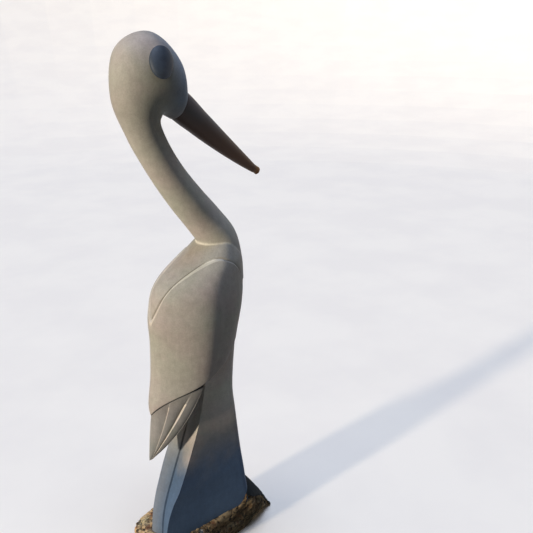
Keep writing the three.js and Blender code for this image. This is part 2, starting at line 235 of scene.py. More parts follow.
# Torso and folded wings: egg-shaped plans stacked by height, rows following the wing's groove and its
# lower edge.
torso = dict(
    z=[0.440, 0.460, 0.540, 0.620, 0.700, 0.765, 0.820, 0.860, 0.886],
    rear=[-0.173, -0.172, -0.160, -0.155, -0.155, -0.132, -0.054, 0.002, 0.042],
    front=[0.048, 0.050, 0.058, 0.070, 0.089, 0.094, 0.088, 0.064, 0.044],
    half=[0.075, 0.077, 0.084, 0.092, 0.093, 0.086, 0.068, 0.040, 0.001],
    widest=0.52, pinch=0.32, top=0.886, floor=(-0.020, 0.560), columns=216,
    grooveAngles=[0, 17, 30, 45, 65, 90, 115, 135, 150, 180],
    grooveHeights=[0.690, 0.733, 0.777, 0.806, 0.820, 0.815, 0.796, 0.765, 0.720, 0.660],
    edgeAngles=[0, 19, 48, 73, 90, 105, 120, 132, 147, 165, 180],
    edgeHeights=[0.446, 0.468, 0.499, 0.522, 0.538, 0.555, 0.572, 0.592, 0.604, 0.540, 0.480],
    grooveHalfWidth=0.0055, grooveDepth=0.0032, fallPower=2.2, steepest=1.8, stepSide=0.8, sideFront=0.5,
    wingSwell=0.003, fade=(140, 165), frontGroove=0.3, frontFrom=(76, 104),
    margin=0.0046, marginThinned=0.9, thinning=(35, 80), paintedHighlightTo=82,
    crownGap=0.03, crownCrowding=1.1, mantleRows=56, fallRows=6, stepRows=4, marginRows=2, wingRows=64,
    lip=0.003, lipRows=5, ledgeRows=8, undercut=0.006, inset=0.76, floorShare=0.6,
    chamferDrop=0.020, chamferStart=(62, 95), chamferEnd=(140, 160),
)


# Egg plan: x = widest - reach x cos(turn), y = -half x (1 - pinch x cos(turn)^2 behind) x sin(turn).
def torsoPlan(spec, turn, z, swell):
    rear, front, half = (follow(spec["z"], spec[key], z) for key in ("rear", "front", "half"))
    widest = mix(front, rear, spec["widest"])
    reach = np.where(np.cos(turn) > 0, widest - rear, front - widest)
    narrowing = 1 - spec["pinch"] * np.maximum(np.cos(turn), 0) ** 2
    x = widest - (reach + swell) * np.cos(turn)
    return np.stack([x, -(half + swell) * narrowing * np.sin(turn), z], axis=-1)


# Rows from the crown: mantle, its fall into the groove (swell = -depth x share^fallPower), the step up to the
# wing (-depth .. +wingSwell), margin, wing, lip rounded by a quarter circle, then the ledge: a chamfer falling
# in at the side, an undercut elsewhere. The groove is widened by sqrt(1 + slope^2) so that it keeps its width
# across the line. Step and margin thin over the thinning degrees, the groove's depth over frontFrom.
def torsoGrid(spec):
    turn = np.linspace(0, 2 * math.pi, spec["columns"], endpoint=False)[None, :]
    degrees = np.degrees(np.arccos(np.cos(turn)))
    groove = follow(spec["grooveAngles"], spec["grooveHeights"], degrees)
    edge = follow(spec["edgeAngles"], spec["edgeHeights"], degrees)
    forward = ramp(*spec["frontFrom"], degrees)
    shown = (1 - ramp(*spec["fade"], degrees)) * mix(1, spec["frontGroove"], forward)
    rim = torsoPlan(spec, turn, groove, 0)
    step = np.roll(rim, -1, axis=1) - np.roll(rim, 1, axis=1)
    slope = np.abs(step[..., 2]) / np.maximum(np.hypot(step[..., 0], step[..., 1]), 1e-6)
    width = spec["grooveHalfWidth"] * np.sqrt(1 + np.minimum(slope, spec["steepest"]) ** 2)
    thinned = ramp(*spec["thinning"], degrees)
    side = width * spec["stepSide"] * mix(1, spec["sideFront"], thinned)
    margin = width / spec["grooveHalfWidth"] * spec["margin"] * (1 - spec["marginThinned"] * thinned)
    mantle = 1 - (1 - np.linspace(spec["crownGap"], 1, spec["mantleRows"]))[:, None] ** spec["crownCrowding"]
    fall = np.linspace(0, 1, spec["fallRows"] + 1)[1:, None]
    rise = np.linspace(0, 1, spec["stepRows"] + 1)[1:, None]
    edging = np.linspace(0, 1, spec["marginRows"] + 1)[1:, None]
    wing = np.linspace(0, 1, spec["wingRows"] + 1)[1:, None]
    bend = np.linspace(0, math.pi / 2, spec["lipRows"] + 1)[1:, None]
    z = np.concatenate([
        mix(spec["top"], groove + width, mantle),
        groove + width * (1 - fall),
        groove - side * rise,
        groove - side - margin * edging,
        mix(groove - side - margin, edge + spec["lip"], wing),
        edge + spec["lip"] * (1 - np.sin(bend)),
    ])
    swell = np.concatenate([
        0 * mantle * shown,
        -spec["grooveDepth"] * fall ** spec["fallPower"] * shown,
        mix(-spec["grooveDepth"], spec["wingSwell"], rise) * shown,
        spec["wingSwell"] * shown + 0 * edging,
        spec["wingSwell"] * shown + 0 * wing,
        spec["wingSwell"] * shown - spec["lip"] * (1 - np.cos(bend)),
    ])
    skin = torsoPlan(spec, turn, z, swell)
    floor = np.array([spec["floor"][0], 0, spec["floor"][1]])
    chamfer = ramp(*spec["chamferStart"], degrees) * (1 - ramp(*spec["chamferEnd"], degrees))
    inward = np.linspace(0, 1, spec["ledgeRows"] + 1)[1:, None]
    ledge = mix(floor, skin[-1:], mix(1, spec["inset"], inward)[..., None])
    ledge[..., 2] = skin[-1:, :, 2] + mix(spec["undercut"], -spec["chamferDrop"], chamfer) * inward
    return np.concatenate([skin, ledge, mix(ledge[-1:], floor, spec["floorShare"])])


# The step and the wing's margin take the painted highlight, lighter where light catches them, as far forward as
# the set number of degrees from the rear.
def torsoSlots(spec, grid):
    slots = np.full((grid.shape[0] - 1, grid.shape[1]), stoneSlot)
    first = spec["mantleRows"] + spec["fallRows"] - 1
    middle = 2 * math.pi * (np.arange(grid.shape[1]) + 0.5) / grid.shape[1]
    degrees = np.degrees(np.arccos(np.cos(middle)))
    slots[first:first + spec["stepRows"] + spec["marginRows"], degrees < spec["paintedHighlightTo"]] = paintedHighlightSlot
    return slots


torsoSkin = torsoGrid(torso)
carving = skinMesh("torso", torsoSkin, torsoSlots(torso, torsoSkin))
print("bird above the legs shaped")

# Legs: one pillar with a groove up the rear, two ridges, flat sides and a rounded front.
legs = dict(
    z=[0.062, 0.100, 0.145, 0.190, 0.225, 0.260, 0.330, 0.400, 0.460, 0.520, 0.590],
    ridge=[-0.175, -0.173, -0.166, -0.152, -0.136, -0.122, -0.094, -0.070, -0.057, -0.050, -0.044],
    ridgeHalf=[0.034, 0.034, 0.036, 0.040, 0.045, 0.047, 0.047, 0.048, 0.050, 0.054, 0.057],
    groove=[-0.165, -0.163, -0.157, -0.145, -0.132, -0.119, -0.092, -0.069, -0.057, -0.049, -0.043],
    corner=[0.070, 0.070, 0.065, 0.060, 0.056, 0.052, 0.044, 0.036, 0.029, 0.0275, 0.029],
    cornerHalf=[0.057, 0.063, 0.062, 0.059, 0.057, 0.054, 0.051, 0.051, 0.0505, 0.053, 0.057],
    front=[0.088, 0.090, 0.086, 0.080, 0.076, 0.072, 0.065, 0.057, 0.051, 0.054, 0.061],
    grooveHalfWidth=0.0036, grooveDepth=0.0075, grooveEnd=(0.350, 0.430), swell=0.002,
    rows=130, wallSteps=4, rearSteps=12, sideSteps=26, frontSteps=12,
)


# Half plan: V groove of depth x (1 - share), rear face from lip to ridge swelling by a sine, straight side to
# the corner, quarter ellipse to the front; mirrored.
def legGrid(spec):
    z = np.linspace(spec["z"][-1], spec["z"][0], spec["rows"])[:, None]
    lines = ("ridge", "ridgeHalf", "groove", "corner", "cornerHalf", "front")
    ridge, ridgeHalf, groove, corner, cornerHalf, front = (follow(spec["z"], spec[key], z) for key in lines)
    share = np.linspace(0, 1, spec["wallSteps"] + 1)[None, :-1]
    cut = spec["grooveDepth"] * (1 - ramp(*spec["grooveEnd"], z))
    wallX, wallY = groove + cut * (1 - share), spec["grooveHalfWidth"] * share + 0 * z
    share = np.linspace(0, 1, spec["rearSteps"] + 1)[None, :-1]
    rearX = mix(groove, ridge, share) - spec["swell"] * np.sin(math.pi * share)
    rearY = mix(spec["grooveHalfWidth"], ridgeHalf, share)
    share = np.linspace(0, 1, spec["sideSteps"] + 1)[None, :-1]
    sideX, sideY = mix(ridge, corner, share), mix(ridgeHalf, cornerHalf, share)
    bend = np.linspace(0, math.pi / 2, spec["frontSteps"] + 1)[None, :]
    frontX, frontY = mix(corner, front, np.sin(bend)), cornerHalf * np.cos(bend)
    x = np.concatenate([wallX, rearX, sideX, frontX], axis=1)
    y = np.concatenate([wallY, rearY, sideY, frontY], axis=1)
    x = np.concatenate([x, x[:, -2:0:-1]], axis=1)
    y = np.concatenate([-y, y[:, -2:0:-1]], axis=1)
    return np.stack([x, y, z + 0 * x], axis=-1)


parts.append(skinMesh("legs", legGrid(legs), legSlot))

# Tail: half-oval sections, flatter than an ellipse, of overlapping feathers, shrinking towards a free tip.
tail = dict(
    rear=(-0.165, 0.492), front=(-0.069, 0.516), tip=(-0.187, 0.324), tipLength=0.010, bow=(0.0025, -0.0075),
    rootHalf=0.073, tipHalf=0.009, bulge=0.012, curve=1.3, pinch=0.1,
    rootEdges=(0, 39.5, 68, 90), tipEdges=(0, 37, 49, 90), featherSteps=14, featherDepths=(0.012, 0.012, 0.002),
    depthPower=2.6, sinkFull=0.3, sinkFade=0.6, sinkSpan=1.5, paintedHighlightFrom=0.15, edgeWidth=0.06,
    rows=80, flatSteps=12,
)


# Along = front-to-rear line x cos(turn)^curve, across = half x sin(turn)^curve. Each feather sinks by depth x
# within^power towards its outer edge, then steps up to the next. Front edge and half width swell by 4t(1 - t).
def tailGrid(spec):
    share = np.linspace(0, 1, spec["rows"])[:, None]
    swell = 4 * share * (1 - share)
    rearX, rearZ = mix(spec["rear"][0], spec["tip"][0], share), mix(spec["rear"][1], spec["tip"][1], share)
    frontX = mix(spec["front"][0], spec["tip"][0] + spec["tipLength"], share) + spec["bow"][0] * swell
    frontZ = mix(spec["front"][1], spec["tip"][1] + spec["tipLength"], share) + spec["bow"][1] * swell
    half = mix(spec["rootHalf"], spec["tipHalf"], share) + spec["bulge"] * swell
    reach = np.hypot(rearX - frontX, rearZ - frontZ)
    edges = [mix(root, tip, share) for root, tip in zip(spec["rootEdges"], spec["tipEdges"])]
    within = np.linspace(0, 1 - spec["edgeWidth"], spec["featherSteps"])[None, :]
    turns = [mix(inner, outer, within) for inner, outer in zip(edges, edges[1:])]
    depths = [depth * within ** spec["depthPower"] for depth in spec["featherDepths"]]
    turn = np.concatenate(turns + [edges[-1]], axis=1)
    sunk = np.concatenate(depths + [[[0]]], axis=1)
    turn = np.radians(np.concatenate([-turn[:, :0:-1], turn], axis=1))
    sunk = np.concatenate([sunk[:, :0:-1], sunk], axis=1)
    sunk = sunk * ramp(0, spec["sinkFull"], share) * (1 - spec["sinkFade"] * share)
    rearward, sideways = np.maximum(np.cos(turn), 0) ** spec["curve"], np.abs(np.sin(turn)) ** spec["curve"]
    lift = rearward * (1 - sunk / np.maximum(reach, spec["sinkSpan"] * half))
    narrowing = 1 - spec["pinch"] * (1 - share) * np.cos(turn) ** 2
    across = np.sign(turn) * sideways * (half * narrowing - sunk * sideways)
    flat = np.linspace(1, -1, spec["flatSteps"] + 1)[None, 1:-1]
    lift = np.concatenate([lift, 0 * flat * share], axis=1)
    across = np.concatenate([across, half * flat], axis=1)
    return np.stack([mix(frontX, rearX, lift), across, mix(frontZ, rearZ, lift)], axis=-1)


# The narrow columns between one feather and the next take the painted highlight, below a set share of the
# tail's length.
def tailSlots(spec, grid):
    slots = np.full((grid.shape[0] - 1, grid.shape[1]), tailSlot)
    middle = spec["featherSteps"] * (len(spec["rootEdges"]) - 1)
    steps = spec["featherSteps"] * np.arange(1, len(spec["rootEdges"]) - 1)
    columns = np.concatenate([middle + steps - 1, middle - steps])
    slots[int(spec["paintedHighlightFrom"] * spec["rows"]):, columns] = paintedHighlightSlot
    return slots


tailSkin = tailGrid(tail)
parts.append(skinMesh("tail", tailSkin, tailSlots(tail, tailSkin)))
print("legs and tail shaped")

# Base: squarish rough block with a level-ish top and a mass of rock sloping down in front.
base = dict(
    centre=(-0.0165, 0.013), half=(0.2055, 0.082), squareness=0.52, top=0.106, riseForward=0.16, riseLeft=0.10,
    footInset=0.015, footTop=0.16, rightInset=0.028, rightInsetTop=0.6, rightInsetFull=-0.040,
    rockStart=0.048, rockFull=0.070, rockRunOut=0.180, rockHeight=0.073, rockToe=0.022, rockLeast=0.006,
    rockNarrowing=0.46, paintedShadeRockStart=0.066, shoulder=(0.034, 0.070), shoulderDrop=0.62,
    rimFall=0.012, rimPower=24, rimFallFull=-0.040, roughness=0.004,
    columns=380, wallRows=36, topRows=32, topReach=0.96, topCrowding=1.6,
    lumps=0.0055, lumpGrain=0.030, lumpSeed=11, pits=0.0036, pitGrain=0.0105, pitSeed=23,
    hollow=0.35, pushFrom=0.02, pushFull=0.2, slopeCalm=0.8, rimRing=0.999, sideRow=10,
)


# Top height = tilted plane + rock rise x shoulder fall-off, blended down to the toe in front, and never lower
# than rockLeast.
def rockTop(spec, x, y):
    shoulder = 1 - spec["shoulderDrop"] * ramp(*spec["shoulder"], np.abs(y))
    rise = ramp(spec["rockStart"], spec["rockFull"], x) * spec["rockHeight"] * shoulder
    ground = spec["top"] + spec["riseForward"] * x + spec["riseLeft"] * y
    fall = np.maximum(x - spec["rockFull"], 0) / (spec["rockRunOut"] - spec["rockFull"])
    return np.maximum(mix(ground + rise, spec["rockToe"], fall), spec["rockLeast"])


# Low waves round the rock, leaning over from foot to top: turns, phase, lean and size of each.
baseWaves = ((3, 0.7, 3, 1), (7, 0, -3.9, 0.6))


# Rings of a squared ellipse: foot, wall and top. On the right the wall leans in to the foot by rightInset and
# the rim falls by rimFall x ring^rimPower. The skin stands out by |noise| - hollow: lumps with creased pits
# between them, calmer on the rock's slope.
def baseGrid(spec):
    turn = np.linspace(0, 2 * math.pi, spec["columns"], endpoint=False)[None, :]
    wall = np.linspace(0, 1, spec["wallRows"])[:, None]
    over = 1 - spec["topReach"] * np.linspace(0, 1, spec["topRows"] + 1)[1:, None] ** spec["topCrowding"]
    ring = np.concatenate([np.ones_like(wall), over])
    level = np.concatenate([wall, np.ones_like(over)])
    wobble = sum(size * np.sin(turns * turn + phase + lean * level) for turns, phase, lean, size in baseWaves)
    inset = spec["footInset"] * (1 - ramp(0, spec["footTop"], level))
    soften = lambda value: np.sign(value) * np.abs(value) ** spec["squareness"]
    across = soften(np.sin(turn))
    right = ramp(0, spec["rightInsetFull"], spec["half"][1] * across)
    insetRight = spec["rightInset"] * (1 - ramp(0, spec["rightInsetTop"], level)) * right
    reachX = (spec["half"][0] - inset + spec["roughness"] * wobble) * ring
    reachY = (spec["half"][1] - np.maximum(inset, insetRight) + spec["roughness"] * wobble) * ring
    x = spec["centre"][0] - reachX * soften(np.cos(turn))
    taper = 1 - spec["rockNarrowing"] * ramp(spec["rockFull"], spec["rockRunOut"], x)
    y = (spec["centre"][1] + reachY * across) * taper
    worn = spec["rimFall"] * ring ** spec["rimPower"] * ramp(0, spec["rimFallFull"], y)
    grid = np.stack([x, y, (rockTop(spec, x, y) - worn) * level], axis=-1)
    lumps = spec["lumps"] * (np.abs(rubble(grid, spec["lumpGrain"], spec["lumpSeed"])) - spec["hollow"])
    pits = spec["pits"] * (np.abs(rubble(grid, spec["pitGrain"], spec["pitSeed"])) - spec["hollow"])
    sloping = ramp(spec["rockStart"], spec["rockFull"], x) * (ring < spec["rimRing"])
    push = (lumps + pits) * ramp(spec["pushFrom"], spec["pushFull"], level) * (1 - spec["slopeCalm"] * sloping)
    normal = gridNormals(grid)
    side = spec["sideRow"]
    outward = np.sign(np.sum(normal[side] * (grid[side] - grid[side].mean(axis=0)), axis=-1).mean())
    return grid + outward * normal * push[..., None]


# The rock's slope in front of the legs is painted near-black as the shade it stands in; everything else is rind.
def baseSlots(spec, grid):
    middle = (grid[:-1] + grid[1:]) / 2
    onTop = np.arange(grid.shape[0] - 1)[:, None] >= spec["wallRows"] - 2
    return np.where(onTop & (middle[..., 0] > spec["paintedShadeRockStart"]), paintedShadeRockSlot, rindSlot)


baseSkin = baseGrid(base)
parts.append(skinMesh("base", baseSkin, baseSlots(base, baseSkin)))
print("base shaped")

# One stone: the shaped volumes are united into a single closed skin.
carving.name = "storkCarving"
for part in parts:
    join = carving.modifiers.new(part.name, "BOOLEAN")
    join.operation = "UNION"
    join.solver = "MANIFOLD"
    join.object = part
shaped = bpy.data.meshes.new_from_object(carving.evaluated_get(bpy.context.evaluated_depsgraph_get()))
carving.modifiers.clear()
carving.data = shaped
for part in parts:
    bpy.data.objects.remove(part)

# Collar: the inward fold where the neck leaves the mantle is worn to a soft hollow.
collar = dict(
    low=(-0.035, -0.055, 0.785), high=(0.100, 0.055, 0.900), boxMargin=0.02, leastFold=14,
    reach=0.009, pull=0.5, passes=22, lightReach=0.0034, farGap=1.0,
)


# Folds are edges whose two faces turn towards each other by more than leastFold degrees. Points within reach of
# a fold move by pull x (1 - ramp(distance)) towards the mean of their neighbours, pass after pass. The attribute
# foldNearness falls from 1 on the fold to 0 at lightReach; the stone material paints a highlight along it.
def softenCollar(mesh, spec):
    def fetch(source, key, shape, kind=float):
        values = np.empty(int(np.prod(shape)), kind)
        source.foreach_get(key, values)
        return values.reshape(shape)

    points = fetch(mesh.vertices, "co", (len(mesh.vertices), 3))
    edges = fetch(mesh.edges, "vertices", (len(mesh.edges), 2), np.int32)
    normals = fetch(mesh.polygons, "normal", (len(mesh.polygons), 3))
    centres = fetch(mesh.polygons, "center", (len(mesh.polygons), 3))
    corners = fetch(mesh.polygons, "loop_total", (len(mesh.polygons),), np.int32)
    loopFace = np.repeat(np.arange(len(mesh.polygons)), corners)
    loopEdge = fetch(mesh.loops, "edge_index", (len(mesh.loops),), np.int32)
    pairs = loopFace[np.argsort(loopEdge, kind="stable")].reshape(-1, 2)
    facing = np.sum(normals[pairs[:, 0]] * normals[pairs[:, 1]], axis=1)
    inward = np.sum((centres[pairs[:, 1]] - centres[pairs[:, 0]]) * normals[pairs[:, 0]], axis=1) > 0
    middle = points[edges].mean(axis=1)
    boxed = np.all((middle > spec["low"]) & (middle < spec["high"]), axis=1)
    fold = np.unique(edges[boxed & inward & (facing < math.cos(math.radians(spec["leastFold"])))])
    low, high = np.array(spec["low"]) - spec["boxMargin"], np.array(spec["high"]) + spec["boxMargin"]
    near = np.flatnonzero(np.all((points > low) & (points < high), axis=1))
    gap = np.full(len(points), spec["farGap"])
    gap[near] = np.linalg.norm(points[near][:, None] - points[fold][None], axis=2).min(axis=1)
    weight = spec["pull"] * (1 - ramp(0, spec["reach"], gap))[:, None]
    moving = edges[(weight[edges[:, 0], 0] > 0) | (weight[edges[:, 1], 0] > 0)]
    for _ in range(spec["passes"]):
        total, count = np.zeros_like(points), np.zeros((len(points), 1))
        for here, there in (moving.T, moving.T[::-1]):
            np.add.at(total, here, points[there])
            np.add.at(count, here, 1)
        points = points + weight * (total / np.maximum(count, 1) - points) * (count > 0)
    mesh.vertices.foreach_set("co", points.ravel())
    nearness = mesh.attributes.new("foldNearness", "FLOAT", "POINT")
    nearness.data.foreach_set("value", 1 - ramp(0, spec["lightReach"], gap))
    mesh.update()
    print("collar softened,", len(fold), "points on the fold")


softenCollar(shaped, collar)
sharpAngle = 32  # degrees; a sharper edge stays hard
shaped.polygons.foreach_set("use_smooth", np.ones(len(shaped.polygons), bool))
shaped.set_sharp_from_angle(angle=math.radians(sharpAngle))
print("carving united,", sum(len(p.vertices) - 2 for p in shaped.polygons), "triangles")


# Screen colour 0-255 to linear light by the sRGB curve.
def tone(red, green, blue):
    value = np.array([red, green, blue]) / 255
    return (*np.where(value <= 0.04045, value / 12.92, ((value + 0.055) / 1.055) ** 2.4), 1)


def addNode(tree, kind, **settings):
    made = tree.nodes.new(kind)
    for key, value in settings.items():
        setattr(made, key, value)
    return made


def feed(tree, socket, value):
    if isinstance(value, bpy.types.NodeSocket):
        tree.links.new(value, socket)
    else:
        socket.default_value = value


# Noise of a given number of grains to the metre, stretched so that low..high becomes 0..1.
def noiseShare(tree, place, scale, low=0.0, high=1.0, detail=4, roughness=0.55):
    made = addNode(tree, "ShaderNodeTexNoise")
    for key, value in (("Vector", place), ("Scale", scale), ("Detail", detail), ("Roughness", roughness)):
        feed(tree, made.inputs[key], value)
    return stretch(tree, made.outputs["Fac"], low, high)


# low..high of the value becomes toLow..toHigh, straight or by the soft step, and stays there beyond.
def stretch(tree, value, low, high, toLow=0.0, toHigh=1.0, smooth=False):
    made = addNode(tree, "ShaderNodeMapRange", interpolation_type="SMOOTHSTEP" if smooth else "LINEAR")
    for index, number in enumerate((value, low, high, toLow, toHigh)):
        feed(tree, made.inputs[index], number)
    return made.outputs["Result"]


# Colour = first + (second - first) x share.
def blend(tree, share, first, second):
    made = addNode(tree, "ShaderNodeMix", data_type="RGBA")
    for index, value in ((0, share), (6, first), (7, second)):
        feed(tree, made.inputs[index], value)
    return made.outputs[2]


def maths(tree, operation, first, second=0.0):
    made = addNode(tree, "ShaderNodeMath", operation=operation)
    feed(tree, made.inputs[0], first)
    feed(tree, made.inputs[1], second)
    return made.outputs[0]


# Colour times one factor.
def shade(tree, colour, factor):
    made = addNode(tree, "ShaderNodeVectorMath", operation="SCALE")
    feed(tree, made.inputs[0], colour)
    feed(tree, made.inputs["Scale"], factor)
    return made.outputs["Vector"]


def dot(tree, vector, direction):
    made = addNode(tree, "ShaderNodeVectorMath", operation="DOT_PRODUCT")
    feed(tree, made.inputs[0], vector)
    feed(tree, made.inputs[1], direction)
    return made.outputs["Value"]


def scaled(tree, place, factors):
    made = addNode(tree, "ShaderNodeVectorMath", operation="MULTIPLY")
    feed(tree, made.inputs[0], place)
    feed(tree, made.inputs[1], factors)
    return made.outputs["Vector"]


# Place + amount x (noise - 1/2) along the diagonal.
def bent(tree, place, scale, amount):
    made = addNode(tree, "ShaderNodeVectorMath", operation="ADD")
    feed(tree, made.inputs[0], place)
    feed(tree, made.inputs[1], stretch(tree, noiseShare(tree, place, scale), 0, 1, -amount, amount))
    return made.outputs["Vector"]


# Distance from one spot, in metres of object space.
def distanceFrom(tree, place, spot):
    made = addNode(tree, "ShaderNodeVectorMath", operation="DISTANCE")
    feed(tree, made.inputs[0], place)
    feed(tree, made.inputs[1], spot)
    return made.outputs["Value"]


def startMaterial(material, look):
    material.use_nodes = True
    tree = material.node_tree
    shader = tree.nodes["Principled BSDF"]
    shader.inputs["Roughness"].default_value = look["roughness"]
    shader.inputs["Specular IOR Level"].default_value = look["specular"]
    place = addNode(tree, "ShaderNodeTexCoord").outputs["Object"]
    return tree, shader, place


def finishMaterial(tree, shader, look, colour, heights):
    feed(tree, shader.inputs["Base Color"], colour)
    bump = addNode(tree, "ShaderNodeBump")
    for key, value in (("Strength", look["bump"]), ("Distance", look["bumpDistance"]), ("Height", heights)):
        feed(tree, bump.inputs[key], value)
    feed(tree, shader.inputs["Normal"], bump.outputs["Normal"])


# Rubbed stone: warm grey clouded with green and pink, finely mottled, and turned blue-grey low on the legs by
# painted sky-lit shade. A Band is the stretch of the noise that becomes 0..1.
stoneLook = dict(
    warm=(150, 146, 139), green=(145, 145, 135), pink=(152, 144, 139),
    cool=(88, 104, 120), coolDeep=(74, 90, 108), face=(108, 126, 148),
    cloudScale=5, cloudBand=(0.38, 0.62), pinkScale=9, pinkBand=(0.45, 0.68), fineBand=(0.3, 0.7),
    mottleScale=60, mottle=0.09, grainScale=330, grain=0.07,
    streakScale=90, streak=0.05, streakStretch=(1, 1, 0.1),
    paintedShadeTop=0.375, paintedShadeFull=0.200, paintedShadeWander=0.05, leftFrom=-0.005, leftTo=0.030, leftShare=0.65,
    paintedLightFrom=0.34, paintedLightFull=0.47, paintedLight=1.0, faceFrom=(-0.135, 1.13), faceFull=(-0.070, 1.18), faceShare=0.0,
    lightness=1.0, paintedFoldHighlight=1.45,
    roughness=0.62, specular=0.25, bump=0.22, bumpDistance=0.0005,
)
# Painted highlight: the step, margin and feather-step faces, 1.5 times as light where light catches them.
paintedHighlightLook = dict(stoneLook, lightness=1.5, roughness=0.8, specular=0.15)
# Painted shade: the front rock's slope, near-black for the shade it stands in.
paintedShadeRockLook = dict(
    stoneLook, warm=(20, 28, 31), green=(18, 26, 30), pink=(23, 27, 29),
    cool=(17, 25, 30), coolDeep=(15, 23, 28), roughness=0.75, specular=0.12,
)
# Legs: painted light raising the lightness from 1 to 2 up the upper legs, and a deeper blue painted shade low
# down.
legLook = dict(
    stoneLook, cool=(68, 89, 114), coolDeep=(57, 77, 103), paintedShadeTop=0.39, paintedShadeFull=0.22,
    leftShare=0.75, paintedLight=2.0,
)
# Tail: greyer than the rest, and darkened by painted shade to 0.7 of the stone's lightness.
tailLook = dict(
    stoneLook, warm=(150, 149, 147), green=(145, 147, 143), pink=(150, 147, 146), lightness=0.70,
)
# Neck and head: painted light, 1.22 times as light below the head, and painted blue sky-lit shade on the face.
neckLook = dict(stoneLook, paintedLightFrom=1.16, paintedLightFull=1.06, paintedLight=1.22, faceShare=0.85)


# Height + wander x noise runs the painted blue-grey shade from 0 at its top height to 1 at its full height; the
# left side takes less of it. A painted blue sky-lit shade comes in on the face over x and height together, by
# its share. Lightness, painted light, is 1 at its first height and its full value at the second, straight over
# the height, and a painted highlight brightens a collar fold.
def finishStone(material, look):
    tree, shader, place = startMaterial(material, look)
    split = addNode(tree, "ShaderNodeSeparateXYZ")
    feed(tree, split.inputs["Vector"], place)
    greenShare = noiseShare(tree, place, look["cloudScale"], *look["cloudBand"])
    pinkShare = noiseShare(tree, place, look["pinkScale"], *look["pinkBand"])
    warm = blend(tree, greenShare, tone(*look["warm"]), tone(*look["green"]))
    warm = blend(tree, pinkShare, warm, tone(*look["pink"]))
    cool = blend(tree, greenShare, tone(*look["cool"]), tone(*look["coolDeep"]))
    # Painted shade: blue-grey sky-lit shade laid in by height, wandering with the noise, less of it on the left.
    wander = stretch(tree, pinkShare, 0, 1, -look["paintedShadeWander"] / 2, look["paintedShadeWander"] / 2)
    height = maths(tree, "ADD", split.outputs["Z"], wander)
    paintedShade = stretch(tree, height, look["paintedShadeTop"], look["paintedShadeFull"], smooth=True)
    left = stretch(tree, split.outputs["Y"], look["leftFrom"], look["leftTo"], 1.0, look["leftShare"])
    colour = blend(tree, maths(tree, "MULTIPLY", paintedShade, left), warm, cool)
    # Painted shade: a blue sky-lit shade laid over the face.
    (rearX, lowZ), (frontX, highZ) = look["faceFrom"], look["faceFull"]
    facing = stretch(tree, split.outputs["X"], rearX, frontX, 0.0, look["faceShare"], smooth=True)
    headward = stretch(tree, split.outputs["Z"], lowZ, highZ)
    colour = blend(tree, maths(tree, "MULTIPLY", facing, headward), colour, tone(*look["face"]))
    drawn = scaled(tree, place, look["streakStretch"])
    mottle = noiseShare(tree, place, look["mottleScale"], *look["fineBand"], detail=5, roughness=0.6)
    grain = noiseShare(tree, place, look["grainScale"], *look["fineBand"], detail=2)
    streak = noiseShare(tree, drawn, look["streakScale"], *look["fineBand"], detail=3)
    for share, key in ((mottle, "mottle"), (grain, "grain"), (streak, "streak")):
        colour = shade(tree, colour, stretch(tree, share, 0, 1, 1 - look[key], 1 + look[key]))
    # Painted light: lightness scaled over the height.
    paintedLight = stretch(tree, split.outputs["Z"], look["paintedLightFrom"], look["paintedLightFull"], 1.0, look["paintedLight"])
    colour = shade(tree, colour, paintedLight)
    colour = shade(tree, colour, look["lightness"])
    # Painted highlight: lighter along the collar fold.
    fold = addNode(tree, "ShaderNodeAttribute", attribute_name="foldNearness").outputs["Fac"]
    colour = shade(tree, colour, stretch(tree, fold, 0, 1, 1.0, look["paintedFoldHighlight"]))
    finishMaterial(tree, shader, look, colour, maths(tree, "ADD", grain, mottle))


# Polished bill: navy above near the root, brown below and towards the tip, worn light at the broken end.
billLook = dict(
    navy=(42, 42, 56), black=(26, 23, 24), brown=(76, 48, 28), gold=(146, 102, 60),
    root=(-0.06, 0, 1.17), tip=(0.162, 0, 0.991), halfDepth=0.03, waveScale=26, wave=0.5,
    blackBand=(-0.6, 0.5), brownBand=(0.25, 0.95), brownUnder=0.35, goldBand=(0.93, 0.99),
    grainScale=180, roughness=0.5, specular=0.25, bump=0.15, bumpDistance=0.0004,
)


# along = 0 at the root, 1 at the tip; under = -1 on the upper edge, 1 on the lower; both by dot product with
# the line. Black comes in with under, brown with along + brownUnder x under, gold with along.
def finishBill(material, look):
    tree, shader, place = startMaterial(material, look)
    run = Vector(look["tip"]) - Vector(look["root"])
    fromRoot = addNode(tree, "ShaderNodeVectorMath", operation="SUBTRACT")
    feed(tree, fromRoot.inputs[0], place)
    feed(tree, fromRoot.inputs[1], look["root"])
    along = dot(tree, fromRoot.outputs["Vector"], run / run.length_squared)
    downward = Vector((run.z, 0, -run.x)).normalized()
    under = dot(tree, fromRoot.outputs["Vector"], downward / look["halfDepth"])
    waved = maths(tree, "ADD", under, noiseShare(tree, place, look["waveScale"], 0.0, 1.0 / look["wave"]))
    colour = blend(tree, stretch(tree, waved, *look["blackBand"]), tone(*look["navy"]), tone(*look["black"]))
    browned = maths(tree, "ADD", along, maths(tree, "MULTIPLY", waved, look["brownUnder"]))
    colour = blend(tree, stretch(tree, browned, *look["brownBand"]), colour, tone(*look["brown"]))
    colour = blend(tree, stretch(tree, along, *look["goldBand"]), colour, tone(*look["gold"]))
    finishMaterial(tree, shader, look, colour, noiseShare(tree, place, look["grainScale"], detail=3))


# Polished eye: near-black blue, faintly clouded.
eyeLook = dict(
    dark=(38, 47, 58), light=(52, 62, 74), cloudScale=40, cloudBand=(0.38, 0.62), grainScale=200,
    roughness=0.6, specular=0.35, bump=0.08, bumpDistance=0.0003,
)


